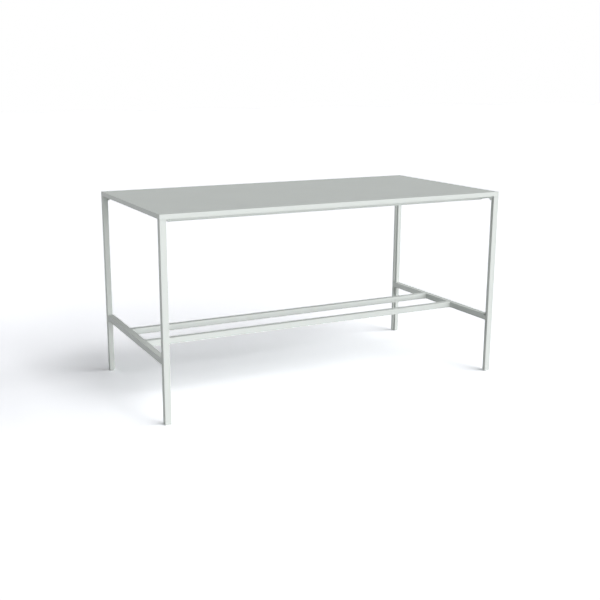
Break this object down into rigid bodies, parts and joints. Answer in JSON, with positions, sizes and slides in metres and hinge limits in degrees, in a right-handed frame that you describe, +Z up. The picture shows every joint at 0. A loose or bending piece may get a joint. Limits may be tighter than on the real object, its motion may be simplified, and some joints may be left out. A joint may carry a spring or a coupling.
{
  "type": "standing meeting table",
  "caption": "Rectangular standing-height meeting table: laminate board on square rebated legs with end stretchers, long foot rails, a hidden underframe and levelling glides.",
  "frame": {"origin": "on the floor under the middle of the board, level with the undersides of the glides", "axes": "+X along the long side to the right in the picture, +Y from the front towards the back, +Z up"},
  "size_m": [2, 1, 1.05],
  "materials": {
    "board_laminate": "fine satin laminate, pale grey green",
    "board_core": "raw particle board",
    "frame_coat": "fine satin powder coat, pale grey green",
    "zinc_steel": "bright zinc plate",
    "glide_nylon": "moulded grey nylon"
  },
  "bodies": {
    "frame": {"top_laminate": "board_laminate", "backing_laminate": "board_laminate", "edge_band_front": "board_laminate", "edge_band_back": "board_laminate", "edge_band_left": "board_laminate", "edge_band_right": "board_laminate", "tabletop_core": "board_core", "apron_front": "frame_coat", "apron_back": "frame_coat", "apron_left": "frame_coat", "apron_right": "frame_coat", "cross_bearer_left": "frame_coat", "cross_bearer_right": "frame_coat", "end_stretcher_left": "frame_coat", "end_stretcher_right": "frame_coat", "foot_rail_front": "frame_coat", "foot_rail_back": "frame_coat", "corner_casting_front_left": "frame_coat", "leg_front_left": "frame_coat", "stretcher_joint_front_left": "frame_coat", "foot_rail_joint_front_left": "frame_coat", "board_screw_front_left": "zinc_steel", "corner_screw_front_left": "zinc_steel", "joint_screw_front_left": "zinc_steel", "foot_plug_front_left": "glide_nylon", "corner_casting_front_right": "frame_coat", "leg_front_right": "frame_coat", "stretcher_joint_front_right": "frame_coat", "foot_rail_joint_front_right": "frame_coat", "board_screw_front_right": "zinc_steel", "corner_screw_front_right": "zinc_steel", "joint_screw_front_right": "zinc_steel", "foot_plug_front_right": "glide_nylon", "corner_casting_back_left": "frame_coat", "leg_back_left": "frame_coat", "stretcher_joint_back_left": "frame_coat", "foot_rail_joint_back_left": "frame_coat", "board_screw_back_left": "zinc_steel", "corner_screw_back_left": "zinc_steel", "joint_screw_back_left": "zinc_steel", "foot_plug_back_left": "glide_nylon", "corner_casting_back_right": "frame_coat", "leg_back_right": "frame_coat", "stretcher_joint_back_right": "frame_coat", "foot_rail_joint_back_right": "frame_coat", "board_screw_back_right": "zinc_steel", "corner_screw_back_right": "zinc_steel", "joint_screw_back_right": "zinc_steel", "foot_plug_back_right": "glide_nylon"},
    "pad_front_left": {"glide_pad_front_left": "glide_nylon"},
    "stud_front_left": {"glide_stud_front_left": "zinc_steel"},
    "pad_front_right": {"glide_pad_front_right": "glide_nylon"},
    "stud_front_right": {"glide_stud_front_right": "zinc_steel"},
    "pad_back_left": {"glide_pad_back_left": "glide_nylon"},
    "stud_back_left": {"glide_stud_back_left": "zinc_steel"},
    "pad_back_right": {"glide_pad_back_right": "glide_nylon"},
    "stud_back_right": {"glide_stud_back_right": "zinc_steel"}
  },
  "joints": [
    {"name": "glide_front_left_height", "type": "slide", "parent": "frame", "child": "pad_front_left", "axis": [0, 0, -1], "range_m": [0, 0.012]},
    {"name": "stud_front_left_turn", "type": "hinge", "parent": "pad_front_left", "child": "stud_front_left", "pos_m": [-0.988, -0.4835, 0.02], "axis": [0, 0, -1], "range_deg": [0, 3460]},
    {"name": "glide_front_right_height", "type": "slide", "parent": "frame", "child": "pad_front_right", "axis": [0, 0, -1], "range_m": [0, 0.012]},
    {"name": "stud_front_right_turn", "type": "hinge", "parent": "pad_front_right", "child": "stud_front_right", "pos_m": [0.988, -0.4835, 0.02], "axis": [0, 0, -1], "range_deg": [0, 3460]},
    {"name": "glide_back_left_height", "type": "slide", "parent": "frame", "child": "pad_back_left", "axis": [0, 0, -1], "range_m": [0, 0.012]},
    {"name": "stud_back_left_turn", "type": "hinge", "parent": "pad_back_left", "child": "stud_back_left", "pos_m": [-0.988, 0.4835, 0.02], "axis": [0, 0, -1], "range_deg": [0, 3460]},
    {"name": "glide_back_right_height", "type": "slide", "parent": "frame", "child": "pad_back_right", "axis": [0, 0, -1], "range_m": [0, 0.012]},
    {"name": "stud_back_right_turn", "type": "hinge", "parent": "pad_back_right", "child": "stud_back_right", "pos_m": [0.988, 0.4835, 0.02], "axis": [0, 0, -1], "range_deg": [0, 3460]}
  ],
  "couplings": [
    {"joint": "stud_front_left_turn", "follows": "glide_front_left_height", "rad_per_m": 5026.5},
    {"joint": "stud_front_right_turn", "follows": "glide_front_right_height", "rad_per_m": 5026.5},
    {"joint": "stud_back_left_turn", "follows": "glide_back_left_height", "rad_per_m": 5026.5},
    {"joint": "stud_back_right_turn", "follows": "glide_back_right_height", "rad_per_m": 5026.5}
  ]
}
